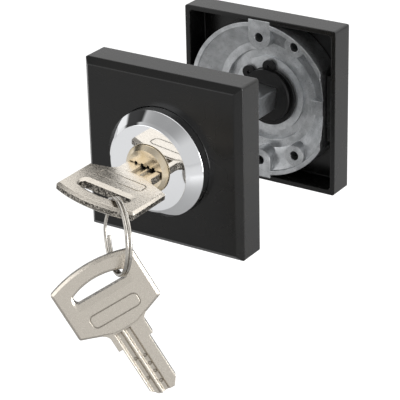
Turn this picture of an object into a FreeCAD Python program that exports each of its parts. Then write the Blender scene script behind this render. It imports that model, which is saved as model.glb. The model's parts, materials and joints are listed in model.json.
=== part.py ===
import math
import os

import FreeCAD, Part
from FreeCAD import Matrix, Vector

# Key-operated privacy set for a door: a square rose with a small key cylinder outside,
# a square rose with a thumb turn inside, one square spindle between them,
# the key in the cylinder and a spare key hanging from it on a split ring.
# Millimetres. +Z up, the spindle along +Y, the keyed side at -Y.
# Origin: centre of the two fixing holes, on the door-side face of the outer rose.

# Roses
rose_side = 50.0            # square covers
rose_depth = 9.6            # cover, door face to front face
cover_wall = 1.4
cover_face = 1.6
cover_chamfer = 1.75        # bevel round the front face
cover_corner_r = 0.7        # outside corners seen from the front
cover_edge_r = 0.3          # softened edges of the bevel
pocket_corner_r = 1.2
pocket_floor_r = 0.5
door_gap = 41.5             # between the two door-side faces

# Mounting plates
plate_edge_gap = 1.6        # plate's rim to the cover's outside
plate_flat_gap = 4.9        # flat on one side, for the cover's locating land, to the cover's outside
plate_depth = 7.8
plate_rim = 1.3             # flat rim that lies on the door
plate_wall = 1.4
dish_outer_drop = 0.5
dish_floor = 4.6            # depth of the annular floor
dish_floor_r = 16.3
hub_step_r = 13.9
hub_floor = 6.4             # depth of the floor that carries washer and circlip
fixing_spacing = 38.0       # vertical hole pair
fixing_hole_r = 1.4
tongue_half = 3.5           # tongue-shaped boss round each fixing hole
tab_reach = 0.8             # snap tab beyond the rim
side_hole_x = 11.45
side_hole_top_z = 18.0
side_hole_low_z = -15.4
side_boss_r = 3.1
side_boss_drop = 0.3
gate_half = 2.1             # stub of the casting gate, on the flat
gate_centre_z = 0.4
gate_length = 3.7
gate_drop = 1.5
land_half = 10.0            # locating land in the cover, beside the plate's flat
land_drop = 3.45
land_gap = 0.25
snap_gap = 0.06

# Cylinder
collar_r = 15.3
collar_wall = 1.1
collar_shoulder = 2.8       # height of the straight wall above the rose
collar_cone_r = 12.9
collar_cone_height = 5.7
collar_disc_r = 12.2
collar_height = 6.4
collar_face = 1.15          # thickness of the disc
collar_hole_gap = 0.1
body_gap = 0.1              # between body flange and collar
neck_r = 10.6               # body neck through the outer plate
neck_flat = 9.6             # flats at the sides, that stop the body turning
neck_rear = 8.6             # rear face, from the front plane of the rose
plug_r = 6.0
plug_head_r = 6.8
plug_face = 8.0             # plug face in front of the rose
plug_bevel = 1.15
plug_gap = 0.05             # running clearance, radial and axial
stub_r = 4.5
stub_length = 2.6
tongue_thick = 2.4
tongue_width = 7.0
tongue_length = 2.8
pin_r = 0.95
chamber_r = 1.0
pin_first = 4.6             # from the key's stop to the first pin
pin_pitch = 2.6
pin_count = 3
key_pin_tip_r = 0.5
driver_length = 1.9
chamber_plug_length = 0.8
chamber_plug_top = 10.3      # radius at which the plugs end
spring_wire = 0.22
spring_turns = 3

# Washers and circlips
washer_thick = 0.8
circlip_thick = 0.95
circlip_groove = 0.6        # groove depth, radial
outer_washer_r = 13.2
outer_circlip_r = 12.0
inner_washer_r = 11.4
inner_circlip_r = 9.3
circlip_gap_deg = 24.0
circlip_lug_r = 2.0
circlip_lug_out = 1.25      # lug centre beyond the groove floor
circlip_lug_hole_r = 0.5
inner_circlip_open_deg = 121.0
outer_circlip_open_deg = 60.0

# Drive to the inner side
spindle_side = 7.0
spindle_bevel = 0.35
square_gap = 0.05           # each side, between spindle and its square holes
driver_r = 6.5
tail_driver_length = 8.0
hub_r = 8.0
hub_front = 3.2             # depth of the hub's face in the inner rose
hub_running_gap = 0.06
turn_gap = 0.15             # thumb turn to the inner cover
turn_neck_r = 10.2
turn_waist_r = 9.4
turn_neck_length = 7.0
turn_grip_length = 25.0
turn_grip_width = 9.0
turn_reach = 20.0
turn_edge_r = 1.6
turn_socket_depth = 6.0
grub_r = 1.5
grub_length = 1.6
grub_hex = 1.5

# Keys, measured from the key's stop with the tip positive
key_thick = 2.7
bow_half = 12.3
bow_side_near = -8.0
bow_side_far = -22.7
bow_crown = -25.0
bow_corner_r = 0.7
bow_bevel = 0.7
bow_edge_half = 6.8         # where the bow's thicker face meets the neck
bow_edge = -5.9
bow_edge_middle = -5.1
neck_half = 5.15
neck_fillet = 1.4
blade_thick = 2.3
blade_half = 4.0
blade_length = 16.0
blade_tip_side = 1.6        # bevelled corners of the tip
blade_tip_long = 2.2
stop_gap = 0.3              # key's stop to the plug face
groove_floor = 1.1
groove_mouth = 2.1
groove_depth = 0.65
groove_offset = 2.6         # second groove beside the pin groove
groove_start = -4.6
dimple_r = 1.05
dimple_depth = 0.9
check_dimples = (4.2, 10.7)  # in the second groove
last_dimple = 13.0           # in the pin groove, past the pins
slot_near = -16.85
slot_far = -20.9
slot_half = 7.8
slot_end_far = -19.4
slot_end_r = 1.0
slot_lip = 0.7              # sloped lip round the slot
slot_lip_near = 1.9
slot_lip_depth = 0.3
panel_half = 7.2            # plain outline engraved on the bow
panel_near = -8.5
panel_far = -12.5
panel_r = 1.5
panel_line = 0.3
panel_depth = 0.15
keyway_gap = 0.06
keyway_notches = (-2.9, -0.95, 1.0, 2.65)
notch_half = 0.42
notch_height = 0.55

# Split ring
ring_wire = 0.9
ring_pitch = 0.96           # between its two coils
ring_mean_r = 10.0
ring_turns = 1.83
ring_start_deg = 39.0
ring_cross_from = 306.0     # where the wire crosses to the second coil, degrees from its start
ring_cross_to = 353.0
ring_x = 7.0
ring_in_front = 31.0        # ring centre in front of the outer rose
ring_z = -8.2
ring_heading_deg = 141.6
ring_tilt_deg = 3.7

# Spare key
spare_heading_deg = 37.8
spare_tilt_deg = 28.5
spare_lean_deg = -7.0
spare_hang_s = 6.0          # point of the slot's edge that rests on the ring, in the key's own axes
spare_hang_a = -19.55
hang_gap = 0.12

rest_turn_deg = 8.0         # plug, key and spindle, clockwise from the home position

plate_r = rose_side / 2 - plate_edge_gap
plate_flat_x = rose_side / 2 - plate_flat_gap
front = -rose_depth                     # front plane of the outer rose
inner_door = door_gap                   # door-side face of the inner rose
inner_front = door_gap + rose_depth     # outer face of the inner rose
key_stop = front - plug_face - stop_gap
Y_AXIS = Vector(0, 1, 0)
ORIGIN = Vector(0, 0, 0)


def rod(radius, y0, y1, x=0.0, z=0.0):
    """Round bar along Y."""
    return Part.makeCylinder(radius, y1 - y0, Vector(x, y0, z), Y_AXIS)


def block(x0, x1, y0, y1, z0, z1):
    return Part.makeBox(x1 - x0, y1 - y0, z1 - z0, Vector(x0, y0, z0))


def turned_profile(points):
    """Solid of revolution about Y from (radius, y) points."""
    outline = Part.makePolygon([Vector(r, y, 0) for r, y in points + points[:1]])
    return Part.Face(outline).revolve(ORIGIN, Y_AXIS, 360)


def at_rest(shape):
    """Turns a piece of the rotor from its home position to the stored one."""
    shape = shape.copy()
    shape.rotate(ORIGIN, Y_AXIS, rest_turn_deg)
    return shape


def polar(radius, degrees, y=0.0):
    a = math.radians(degrees)
    return Vector(radius * math.cos(a), y, radius * math.sin(a))


def save(name, shape):
    shape = shape.removeSplitter() if len(shape.Solids) == 1 else shape
    if not shape.isValid():
        print("INVALID", name)
    solids = shape.Solids
    print(f"{name}: {len(solids)} solid(s), {sum(s.Volume for s in solids):.1f} mm3")
    shape.exportStep(f"parts/{name}.step")


# Rose covers, built in the rose's own axes: door side at y = 0, depth towards +Y

def rounded_square(half, radius, y):
    """Wire of a square with rounded corners in the plane at y."""
    inner = half - radius
    edges = []
    for k in range(4):
        turn = 90 * k
        c = Vector(inner, y, inner)
        p0 = Vector(half, y, inner)
        pm = c + polar(radius, 45)
        p1 = Vector(inner, y, half)
        q = Vector(-inner, y, half)
        corner = Part.Arc(p0, pm, p1).toShape()
        side = Part.LineSegment(p1, q).toShape()
        for e in (corner, side):
            e.rotate(ORIGIN, Y_AXIS, -turn)
            edges.append(e)
    return Part.Wire(Part.__sortEdges__(edges))


def flat_face_edges(shape, y):
    """Edges that lie in the plane at y."""
    tol = 1e-6
    return [
        e for e in shape.Edges
        if abs(e.BoundBox.YMin - y) < tol and abs(e.BoundBox.YMax - y) < tol
    ]


def square_wire(half, y):
    points = [Vector(half, y, half), Vector(-half, y, half), Vector(-half, y, -half),
              Vector(half, y, -half)]
    return Part.makePolygon(points + points[:1])


def mitred_block(half, bevel, depth):
    """Square block whose far edges are bevelled with mitred corners."""
    base = Part.Face(square_wire(half, 0)).extrude(Vector(0, depth - bevel, 0))
    top = Part.makeLoft([square_wire(half, depth - bevel), square_wire(half - bevel, depth)],
                        True, True)
    return base.fuse(top).removeSplitter()


def bevel_edges(block_shape):
    """Edges between the bevel and the straight sides, and between the bevel and the front face."""
    low = rose_depth - cover_chamfer
    return [
        e for e in block_shape.Edges
        if e.BoundBox.YLength < 1e-6 and e.BoundBox.YMin > low - 1e-6 and e.Length > rose_side / 2
    ]


def rose_cover(centre_hole_r):
    """Square cover, open on the door side."""
    half = rose_side / 2
    outside = Part.Face(rounded_square(half, cover_corner_r, 0)).extrude(Vector(0, rose_depth, 0))
    outside = outside.common(mitred_block(half, cover_chamfer, rose_depth))
    outside = outside.makeFillet(cover_edge_r, bevel_edges(outside))
    pocket_half = half - cover_wall
    floor = rose_depth - cover_face
    pocket = Part.Face(rounded_square(pocket_half, pocket_corner_r, 0)).extrude(Vector(0, floor, 0))
    pocket = pocket.makeFillet(pocket_floor_r, flat_face_edges(pocket, floor))
    land_x = plate_flat_x + land_gap
    pocket = pocket.cut(block(land_x, half, land_drop, floor + 1, -land_half, land_half))
    tab_z = plate_r + tab_reach + snap_gap
    tab_x = tongue_half + snap_gap
    for sign in (1, -1):
        z0, z1 = sorted((sign * (pocket_half - 1), sign * tab_z))
        pocket = pocket.fuse(block(-tab_x, tab_x, 0, floor, z0, z1))
    hole = rod(centre_hole_r, 0, rose_depth + 1)
    return outside.cut(pocket).cut(hole)


# Mounting plates, in the same axes as the covers

def plate_body():
    """Dished disc with a flat rim, a stepped hub and one flat side."""
    rim_inner = plate_r - plate_rim
    solid = turned_profile([
        (0, hub_floor), (hub_step_r - 0.2, hub_floor), (hub_step_r, dish_floor),
        (dish_floor_r, dish_floor), (rim_inner - 0.1, dish_outer_drop),
        (rim_inner, 0), (plate_r, 0), (plate_r, plate_depth), (0, plate_depth),
    ])
    web = dish_floor + plate_wall
    under = turned_profile([
        (hub_step_r + plate_wall, plate_depth + 1), (hub_step_r + plate_wall, web),
        (dish_floor_r + 0.4, web), (plate_r - plate_wall, plate_wall + 1.0),
        (plate_r - plate_wall, plate_depth + 1),
    ])
    solid = solid.cut(under.common(
        block(-plate_r, plate_flat_x - plate_wall, 0, plate_depth + 1, -plate_r, plate_r)))
    return solid.common(block(-plate_r, plate_flat_x, 0, plate_depth, -plate_r, plate_r))


def tongue_boss(sign):
    """Boss from the rim to a fixing hole, with a snap tab past the rim."""
    z = sign * fixing_spacing / 2
    z0, z1 = sorted((z, sign * (plate_r + tab_reach)))
    boss = rod(tongue_half, 0, plate_depth, 0, z)
    boss = boss.fuse(block(-tongue_half, tongue_half, 0, plate_depth, z0, z1))
    boss = boss.common(block(-tongue_half, tongue_half, 0, plate_depth,
                             -plate_r - tab_reach, plate_r + tab_reach))
    return boss.cut(rod(hub_step_r, -1, hub_floor))


def side_boss(z):
    boss = rod(side_boss_r, side_boss_drop, plate_depth, side_hole_x, z)
    return boss.common(rod(plate_r, 0, plate_depth))


def mounting_plate(hub_hole):
    plate = plate_body()
    gate = block(plate_flat_x - gate_length, plate_flat_x, gate_drop, dish_floor + plate_wall,
                 gate_centre_z - gate_half, gate_centre_z + gate_half)
    plate = plate.fuse([tongue_boss(1), tongue_boss(-1), side_boss(side_hole_top_z),
                        side_boss(side_hole_low_z), gate])
    holes = [(0, fixing_spacing / 2), (0, -fixing_spacing / 2),
             (side_hole_x, side_hole_top_z), (side_hole_x, side_hole_low_z)]
    for x, z in holes:
        plate = plate.cut(rod(fixing_hole_r, -1, plate_depth + 1, x, z))
    return plate.cut(hub_hole)


def neck_section(radius, flat, y0, y1):
    """Round bar with two flats, left and right."""
    return rod(radius, y0, y1).common(block(-flat, flat, y0, y1, -radius, radius))


def on_outer_side(shape):
    """Turns a piece from the rose's own axes to face the door from the keyed side."""
    shape = shape.copy()
    shape.rotate(ORIGIN, Vector(0, 0, 1), 180)
    return shape


def on_inner_side(shape):
    return shape.translated(Vector(0, inner_door, 0))


# Retaining rings and washers

def circlip(groove_r, outer_r, y0, y1, open_deg):
    """External circlip: eccentric ring, open between two lugs with plier holes."""
    shift = (outer_r - groove_r) * 0.28
    back = polar(shift, open_deg + 180)
    ring = rod(outer_r - shift, y0, y1, back.x, back.z).cut(rod(groove_r, y0 - 1, y1 + 1))
    lug_at = groove_r + circlip_lug_out
    half = circlip_gap_deg / 2 + math.degrees(circlip_lug_r / lug_at)
    lugs = [polar(lug_at, open_deg + s * half) for s in (1, -1)]
    for c in lugs:
        ring = ring.fuse(rod(circlip_lug_r, y0, y1, c.x, c.z))
    ring = ring.cut(rod(groove_r, y0 - 1, y1 + 1))
    reach = outer_r + 3
    gap = Part.makePolygon([
        Vector(0, y0 - 1, 0), polar(reach, open_deg - circlip_gap_deg / 2, y0 - 1),
        polar(reach, open_deg + circlip_gap_deg / 2, y0 - 1), Vector(0, y0 - 1, 0)])
    ring = ring.cut(Part.Face(gap).extrude(Vector(0, y1 - y0 + 2, 0)))
    for c in lugs:
        ring = ring.cut(rod(circlip_lug_hole_r, y0 - 1, y1 + 1, c.x, c.z))
    return ring


def washer(inner_r, outer_r, y0, y1):
    return rod(outer_r, y0, y1).cut(rod(inner_r, y0 - 1, y1 + 1))


# Key cylinder

def pin_stations():
    return [key_stop + pin_first + k * pin_pitch for k in range(pin_count)]


def cylinder_collar():
    """Turned chrome cup over the cylinder body."""
    foot = front + rose_depth - plate_depth
    profile = [
        (collar_r, foot), (collar_r, front - collar_shoulder + 0.3),
        (collar_r - 0.25, front - collar_shoulder),
        (collar_cone_r, front - collar_cone_height),
        (collar_disc_r + 0.25, front - collar_height + 0.15),
        (collar_disc_r - 0.1, front - collar_height),
        (plug_head_r + plug_gap * 2, front - collar_height),
        (plug_head_r + plug_gap * 2, front - collar_height + collar_face),
        (collar_disc_r - 0.8, front - collar_height + collar_face),
        (collar_r - collar_wall, front - collar_shoulder + collar_face),
        (collar_r - collar_wall, foot),
    ]
    return turned_profile(profile)


def cylinder_body():
    """Brass body: flange inside the collar, flatted neck through the plate, pin chambers above."""
    face = front - collar_height + collar_face
    foot = -plate_depth
    flange_r = collar_r - collar_wall - body_gap
    rear = front + neck_rear
    flange = turned_profile([
        (0, face), (collar_disc_r - 0.9, face),
        (flange_r, front - collar_shoulder + collar_face + 0.1), (flange_r, foot), (0, foot),
    ])
    neck = neck_section(neck_r, neck_flat, foot, rear)
    body = flange.fuse(neck)
    groove_y0 = -hub_floor + washer_thick
    groove = washer(neck_r - circlip_groove, neck_r + 1, groove_y0, groove_y0 + circlip_thick + 0.05)
    body = body.cut(groove)
    body = body.cut(rod(plug_r + plug_gap, face - 1, rear + 1))
    for y in pin_stations():
        body = body.cut(Part.makeCylinder(chamber_r, flange_r + 1, Vector(0, y, 0), Vector(0, 0, 1)))
    return body


def radial_pieces(make_one):
    return Part.makeCompound([make_one(y) for y in pin_stations()])


def driver_pin(y):
    low = plug_r + 2 * plug_gap
    return Part.makeCylinder(pin_r, driver_length, Vector(0, y, low), Vector(0, 0, 1))


def pin_spring(y):
    low = plug_r + 2 * plug_gap + driver_length + 0.02
    high = chamber_plug_top - chamber_plug_length - 0.02
    pitch = (high - low - spring_wire) / spring_turns
    coil_r = pin_r - spring_wire / 2 - 0.05
    helix = Part.makeHelix(pitch, high - low - spring_wire, coil_r)
    ring = Part.Wire([Part.makeCircle(spring_wire / 2, Vector(coil_r, 0, 0), Vector(0, 1, 0))])
    spring = Part.Wire(helix.Edges).makePipeShell([ring], True, True)
    spring.translate(Vector(0, y, low + spring_wire / 2))
    return spring


def chamber_plug(y):
    low = chamber_plug_top - chamber_plug_length
    return Part.makeCylinder(chamber_r - 0.01, chamber_plug_length, Vector(0, y, low), Vector(0, 0, 1))


def keyway():
    """The slot broached through the plug, with the small notches of its profile."""
    half = blade_half + keyway_gap
    up = blade_thick / 2 + keyway_gap
    end = key_stop + blade_length + 0.4
    slot = block(-half, half, front - plug_face - 1, end, -up, up)
    for s in keyway_notches:
        x0 = max(s - notch_half, -half)
        x1 = min(s + notch_half, half)
        slot = slot.fuse(block(x0, x1, front - plug_face - 1, end, 0, up + notch_height))
    return slot


def lock_plug():
    """Turning brass plug: bevelled head, barrel with keyway and pin chambers, tail tongue."""
    face = front - plug_face
    seat = front - collar_height + collar_face - plug_gap
    rear = front + neck_rear + plug_gap
    stub_end = rear + stub_length
    plug = turned_profile([
        (0, face), (plug_head_r - plug_bevel, face), (plug_head_r, face + plug_bevel),
        (plug_head_r, seat), (plug_r, seat), (plug_r, rear), (stub_r, rear),
        (stub_r, stub_end), (0, stub_end),
    ])
    groove = washer(stub_r - circlip_groove, stub_r + 1, rear + 0.05, rear + 0.05 + washer_thick + 0.05)
    plug = plug.cut(groove)
    plug = plug.fuse(block(-tongue_width / 2, tongue_width / 2, stub_end - 0.5, stub_end + tongue_length,
                           -tongue_thick / 2, tongue_thick / 2))
    plug = plug.cut(keyway())
    for y in pin_stations():
        plug = plug.cut(Part.makeCylinder(chamber_r, plug_r + 1, Vector(0, y, 0), Vector(0, 0, 1)))
    return plug


def key_pin(y):
    """Pin with a narrow tip in the key's groove and a domed top inside the plug's surface."""
    tip = blade_thick / 2 - groove_depth + keyway_gap
    shoulder = blade_thick / 2 + keyway_gap + notch_height + 0.25
    top = plug_r - 0.12
    points = [(0, tip), (key_pin_tip_r, tip), (key_pin_tip_r, shoulder - 0.45), (pin_r, shoulder),
              (pin_r, top - 0.12), (pin_r - 0.25, top), (0, top)]
    outline = Part.makePolygon([Vector(r, 0, z) for r, z in points + points[:1]])
    pin = Part.Face(outline).revolve(ORIGIN, Vector(0, 0, 1), 360)
    pin.translate(Vector(0, y, 0))
    return pin


def plug_clip():
    """Open spring clip in the groove behind the body."""
    y0 = front + neck_rear + plug_gap + 0.08
    clip = washer(stub_r - circlip_groove + 0.03, plug_r + 1.2, y0, y0 + washer_thick - 0.05)
    return clip.cut(block(-2.2, 2.2, y0 - 1, y0 + 2, -plug_r - 2, 0))


# Drive and thumb turn

def driver_span():
    y0 = front + neck_rear + plug_gap + stub_length + 0.1
    return y0, y0 + tail_driver_length


def tail_driver():
    """Steel coupling between the plug's tongue and the spindle."""
    y0, y1 = driver_span()
    half = spindle_side / 2 + square_gap
    slot_x = tongue_width / 2 + square_gap * 2
    slot_z = tongue_thick / 2 + square_gap
    body = rod(driver_r, y0, y1)
    body = body.makeChamfer(0.4, flat_face_edges(body, y1))
    body = body.cut(block(-slot_x, slot_x, y0 - 1, y0 + tongue_length + 0.1, -slot_z, slot_z))
    return body.cut(block(-half, half, y0 + tongue_length + 0.5, y1 + 1, -half, half))


def turn_base():
    return inner_front + turn_gap


def square_spindle():
    y0 = driver_span()[0] + tongue_length + 0.6
    y1 = turn_base() + turn_socket_depth - 0.6
    half = spindle_side / 2
    bar = block(-half, half, y0, y1, -half, half)
    long_edges = [e for e in bar.Edges if abs(e.BoundBox.YLength - (y1 - y0)) < 1e-6]
    return bar.makeChamfer(spindle_bevel, long_edges)


def turn_hub():
    """Black hub that turns in the inner plate, held there by washer and circlip."""
    y0 = inner_door + hub_front
    y1 = turn_base() + turn_socket_depth - 0.1
    hub = rod(hub_r, y0, y1)
    hub = hub.makeChamfer(0.35, flat_face_edges(hub, y0))
    groove_y1 = inner_door + hub_floor - washer_thick
    hub = hub.cut(washer(hub_r - circlip_groove, hub_r + 1, groove_y1 - circlip_thick - 0.05, groove_y1))
    half = spindle_side / 2 + square_gap
    return hub.cut(block(-half, half, y0 - 1, y1 + 1, -half, half))


def thumb_turn():
    """Round neck and a rounded upright grip."""
    y0 = turn_base()
    y1 = y0 + turn_neck_length
    end = y0 + turn_reach
    neck = turned_profile([
        (0, y0), (turn_neck_r - 0.5, y0), (turn_neck_r, y0 + 0.5), (turn_neck_r, y0 + 2.2),
        (turn_waist_r, y1 - 0.6), (turn_waist_r - 0.6, y1), (0, y1),
    ])
    r = turn_grip_width / 2
    straight = turn_grip_length / 2 - r
    grip = block(-r, r, y0 + 2.5, end, -straight, straight)
    for sign in (1, -1):
        grip = grip.fuse(rod(r, y0 + 2.5, end, 0, sign * straight))
    grip = grip.removeSplitter()
    grip = grip.makeFillet(turn_edge_r, flat_face_edges(grip, end))
    under = turned_profile([
        (turn_waist_r - 1.2, y0 + 2.0), (turn_grip_length, y0 + 2.0),
        (turn_grip_length, y1 + 1.5), (turn_waist_r + 2.5, y1 + 1.5),
        (turn_waist_r - 1.2, y1 - 0.4),
    ])
    body = neck.fuse(grip.cut(under))
    body = body.cut(rod(hub_r + square_gap, y0 - 1, y0 + turn_socket_depth))
    hole = Part.makeCylinder(grub_r + 0.05, turn_neck_r, Vector(0, y0 + 3.0, -hub_r + 0.5), Vector(0, 0, -1))
    return body.cut(hole)


def turn_grub_screw():
    """Cup-point grub screw with a hexagon socket, in the neck's underside."""
    y = turn_base() + 3.0
    top = -hub_r - 0.06
    screw = Part.makeCylinder(grub_r, grub_length, Vector(0, y, top), Vector(0, 0, -1))
    corner = grub_hex / math.sqrt(3)
    points = [Vector(corner * math.cos(math.radians(60 * k)), y + corner * math.sin(math.radians(60 * k)),
                     top - grub_length) for k in range(6)]
    hexagon = Part.Face(Part.makePolygon(points + points[:1])).extrude(Vector(0, 0, 0.9))
    return screw.cut(hexagon)


# Keys: x across, y along the blade with the tip positive, z out of the face, origin at the stop

def outline_wire(points, z):
    """Wire at height z from lines and three-point arcs: ("line", p) or ("arc", mid, p)."""
    here = Vector(*points[0][-1], z)
    edges = []
    for item in points[1:]:
        there = Vector(*item[-1], z)
        if item[0] == "line":
            edges.append(Part.LineSegment(here, there).toShape())
        else:
            edges.append(Part.Arc(here, Vector(*item[1], z), there).toShape())
        here = there
    return Part.Wire(edges)


def smooth_outline(points, thickness):
    """Prism of an outline, halfway either side of z = 0."""
    return Part.Face(outline_wire(points, -thickness / 2)).extrude(Vector(0, 0, thickness))


def bow_solid():
    """The bow: thicker than the blade, bevelled round both faces."""
    bow = smooth_outline([
        ("start", (-bow_edge_half, bow_edge)),
        ("line", (-bow_half, bow_side_near)),
        ("line", (-bow_half, bow_side_far)),
        ("arc", (0, bow_crown), (bow_half, bow_side_far)),
        ("line", (bow_half, bow_side_near)),
        ("line", (bow_edge_half, bow_edge)),
        ("arc", (0, bow_edge_middle), (-bow_edge_half, bow_edge)),
    ], key_thick)
    corners = [
        e for e in bow.Edges
        if e.BoundBox.ZLength > key_thick * 0.9 and abs(e.BoundBox.XMin) > bow_half - 0.01
    ]
    bow = bow.makeFillet(bow_corner_r, corners)
    rims = [
        e for e in bow.Edges
        if e.BoundBox.ZLength < 1e-6 and e.BoundBox.YMin < bow_side_near + bow_corner_r
        and e.BoundBox.YMax < bow_edge + 0.05
    ]
    return bow.makeChamfer(bow_bevel, rims)


def blade_solid():
    """Neck and blade, from inside the bow to the tip."""
    root = bow_edge - 1.5
    side = blade_half - blade_tip_side
    shoulder = neck_half + neck_fillet
    points = [
        ("start", (-shoulder, root)),
        ("line", (-shoulder, bow_edge)),
        ("arc", (-neck_half - 0.4 * neck_fillet, bow_edge + 0.45 * neck_fillet),
         (-neck_half, bow_edge + 1.2 * neck_fillet)),
        ("line", (-neck_half, 0)),
        ("line", (-blade_half, 0)),
        ("line", (-blade_half, blade_length - blade_tip_long)),
        ("line", (-side, blade_length)),
        ("line", (side, blade_length)),
        ("line", (blade_half, blade_length - blade_tip_long)),
        ("line", (blade_half, 0)),
        ("line", (neck_half, 0)),
        ("line", (neck_half, bow_edge + 1.2 * neck_fillet)),
        ("arc", (neck_half + 0.4 * neck_fillet, bow_edge + 0.45 * neck_fillet), (shoulder, bow_edge)),
        ("line", (shoulder, root)),
        ("line", (-shoulder, root)),
    ]
    return smooth_outline(points, blade_thick)


def slot_wire(grow, grow_near, z):
    """The key-ring slot: one straight side, one side that follows the crown, round ends."""
    half = slot_half + grow
    near = slot_near + grow_near
    far = slot_far - grow
    end_far = slot_end_far - 0.6 * grow
    r = slot_end_r + 0.7 * grow
    middle = (near - r + end_far) / 2
    return outline_wire([
        ("start", (-half + r, near)),
        ("line", (half - r, near)),
        ("arc", (half - 0.3 * r, near - 0.3 * r), (half, near - r)),
        ("arc", (half - 0.05, middle - 0.1), (half - 0.5 * r, end_far)),
        ("arc", (0, far), (-half + 0.5 * r, end_far)),
        ("arc", (-half + 0.05, middle - 0.1), (-half, near - r)),
        ("arc", (-half + 0.3 * r, near - 0.3 * r), (-half + r, near)),
    ], z)


def slot_cut():
    """Slot right through the bow, with a sloped lip on both faces."""
    top = key_thick / 2
    through = Part.Face(slot_wire(0, 0, -key_thick)).extrude(Vector(0, 0, 2 * key_thick))
    lips = []
    for side in (1, -1):
        low = side * (top - slot_lip_depth)
        high = side * (top + 0.01)
        lips.append(Part.makeLoft(
            [slot_wire(0, 0, low), slot_wire(slot_lip, slot_lip_near, high)], True, True))
    return through.fuse(lips)


def panel_line_cut():
    """Thin engraved outline: a rounded rectangle."""
    cuts = []
    for inset in (0, panel_line):
        half = panel_half - inset
        near = panel_near - inset
        far = panel_far + inset
        r = panel_r - inset
        k = r * (1 - math.sqrt(0.5))
        wire = outline_wire([
            ("start", (-half + r, near)),
            ("line", (half - r, near)),
            ("arc", (half - k, near - k), (half, near - r)),
            ("line", (half, far + r)),
            ("arc", (half - k, far + k), (half - r, far)),
            ("line", (-half + r, far)),
            ("arc", (-half + k, far + k), (-half, far + r)),
            ("line", (-half, near - r)),
            ("arc", (-half + k, near - k), (-half + r, near)),
        ], key_thick / 2 - panel_depth)
        cuts.append(Part.Face(wire).extrude(Vector(0, 0, 1)))
    return cuts[0].cut(cuts[1])


def groove_cut(s, floor, top):
    """Groove with sloped walls, running out to the tip."""
    low, high = groove_floor / 2, groove_mouth / 2
    section = Part.makePolygon([Vector(x, groove_start, z) for x, z in (
        (s - low, floor), (s + low, floor), (s + high, top), (s + high, top + 1),
        (s - high, top + 1), (s - high, top), (s - low, floor))])
    return Part.Face(section).extrude(Vector(0, blade_length - groove_start + 1, 0))


def blade_cuts():
    """Grooves and dimples of one face, as solids to cut away."""
    top = blade_thick / 2
    floor = top - groove_depth
    cuts = []
    for s in (0, groove_offset):
        cuts.append(groove_cut(s, floor, top))
    stations = [pin_first + k * pin_pitch for k in range(pin_count)] + [last_dimple]
    places = [(0, a) for a in stations] + [(groove_offset, a) for a in check_dimples]
    for s, a in places:
        cuts.append(Part.makeCone(0.35, dimple_r, dimple_depth, Vector(s, a, top - dimple_depth)))
    return cuts


def key_shape():
    """Flat reversible dimple key with a plain bow."""
    key = bow_solid().fuse(blade_solid()).removeSplitter()
    key = key.cut(slot_cut())
    for side in (0, 180):
        for cut in blade_cuts() + [panel_line_cut()]:
            cut = cut.copy()
            cut.rotate(ORIGIN, Y_AXIS, side)
            key = key.cut(cut)
    return key


def placed(shape, x_dir, y_dir, z_dir, origin):
    """Moves a shape from its own axes to the given ones."""
    m = Matrix(x_dir.x, y_dir.x, z_dir.x, origin.x,
               x_dir.y, y_dir.y, z_dir.y, origin.y,
               x_dir.z, y_dir.z, z_dir.z, origin.z,
               0, 0, 0, 1)
    shape = shape.copy()
    shape.Placement = FreeCAD.Placement(m).multiply(shape.Placement)
    return shape


def ring_axes():
    """Horizontal direction in the ring's plane, its steepest direction, and its normal."""
    heading = math.radians(ring_heading_deg)
    tilt = math.radians(ring_tilt_deg)
    along = Vector(math.cos(heading), math.sin(heading), 0)
    up = Vector(0, 0, 1)
    steep = up * math.cos(tilt) + along.cross(up) * math.sin(tilt)
    return along, steep, along.cross(steep)


def ring_centre():
    return Vector(ring_x, front - ring_in_front, ring_z)


def ring_point(degrees, height):
    p = polar(ring_mean_r, degrees)
    return Vector(p.x, p.z, height)


def bent_wire(p0, middle, p1):
    """Round wire bent to the arc through three points."""
    arc = Part.Arc(p0, middle, p1).toShape()
    circle = arc.Curve
    end = Part.Face(Part.Wire([Part.makeCircle(ring_wire / 2, p0, arc.tangentAt(arc.FirstParameter))]))
    return end.revolve(circle.Center, circle.Axis, math.degrees(arc.LastParameter - arc.FirstParameter))


def split_ring():
    """Spring-steel split ring: two flat coils side by side, joined by a short crossing."""
    half = ring_pitch / 2
    start, end = ring_start_deg, ring_start_deg + 360 * ring_turns
    leave, arrive = start + ring_cross_from, start + ring_cross_to
    left, right = ring_point(leave, -half), ring_point(arrive, half)
    first = bent_wire(ring_point(start, -half), ring_point((start + leave) / 2, -half), left)
    crossing = bent_wire(left, ring_point((leave + arrive) / 2, 0), right)
    second = bent_wire(right, ring_point((arrive + end) / 2, half), ring_point(end, half))
    joint_r = ring_wire / 2 * 1.0005     # a hair over the wire, so that the fuse is clean
    joints = [Part.makeSphere(joint_r, left), Part.makeSphere(joint_r, right)]
    coil = first.fuse([crossing, second] + joints)
    along, steep, normal = ring_axes()
    return placed(coil, along, steep, normal, ring_centre())


def spare_key():
    """The same key, hanging by the end of its slot from the lowest point of the ring."""
    heading = math.radians(spare_heading_deg)
    tilt = math.radians(spare_tilt_deg)
    lean = math.radians(spare_lean_deg)
    across = Vector(math.cos(heading), math.sin(heading), 0)
    up = Vector(0, 0, 1)
    leaned = up * math.cos(lean) + across.cross(up) * math.sin(lean)
    s_dir = across * math.cos(tilt) + leaned * math.sin(tilt)
    a_dir = across * math.sin(tilt) - leaned * math.cos(tilt)
    n_dir = s_dir.cross(a_dir)
    hang = ring_centre() - ring_axes()[1] * (ring_mean_r - ring_wire / 2 - hang_gap)
    origin = hang - s_dir * spare_hang_s - a_dir * spare_hang_a
    return placed(key_shape(), s_dir, a_dir, n_dir, origin)


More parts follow.
